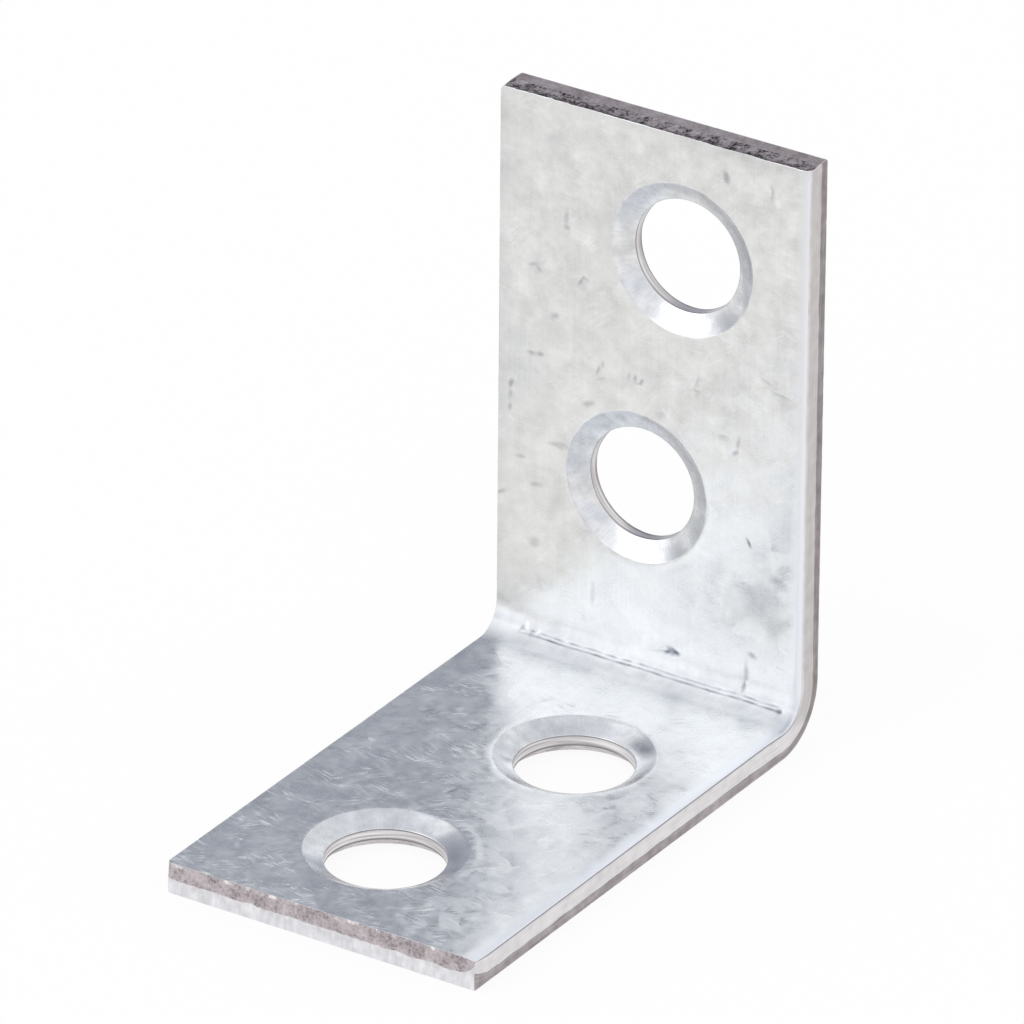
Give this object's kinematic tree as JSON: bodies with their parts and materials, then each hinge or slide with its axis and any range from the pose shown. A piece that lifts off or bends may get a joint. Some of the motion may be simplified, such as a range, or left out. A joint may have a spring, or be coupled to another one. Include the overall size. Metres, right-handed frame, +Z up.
{
  "type": "angle bracket",
  "caption": "Small right-angle bracket folded from one strip of zinc-coated steel, with staggered countersunk screw holes in both legs.",
  "frame": {"origin": "middle of the base leg's underside, which is the middle of the bottom of the bounding box", "axes": "+Z up along the upright, +X across the strip, +Y from the base leg's free end towards the upright's back face"},
  "size_m": [0.0142, 0.0248, 0.0252],
  "materials": {
    "zinc_coated_steel": "satin zinc coating with faint spangle, bare steel at the sheared ends"
  },
  "bodies": {
    "root": {"bracket": "zinc_coated_steel"}
  },
  "joints": []
}
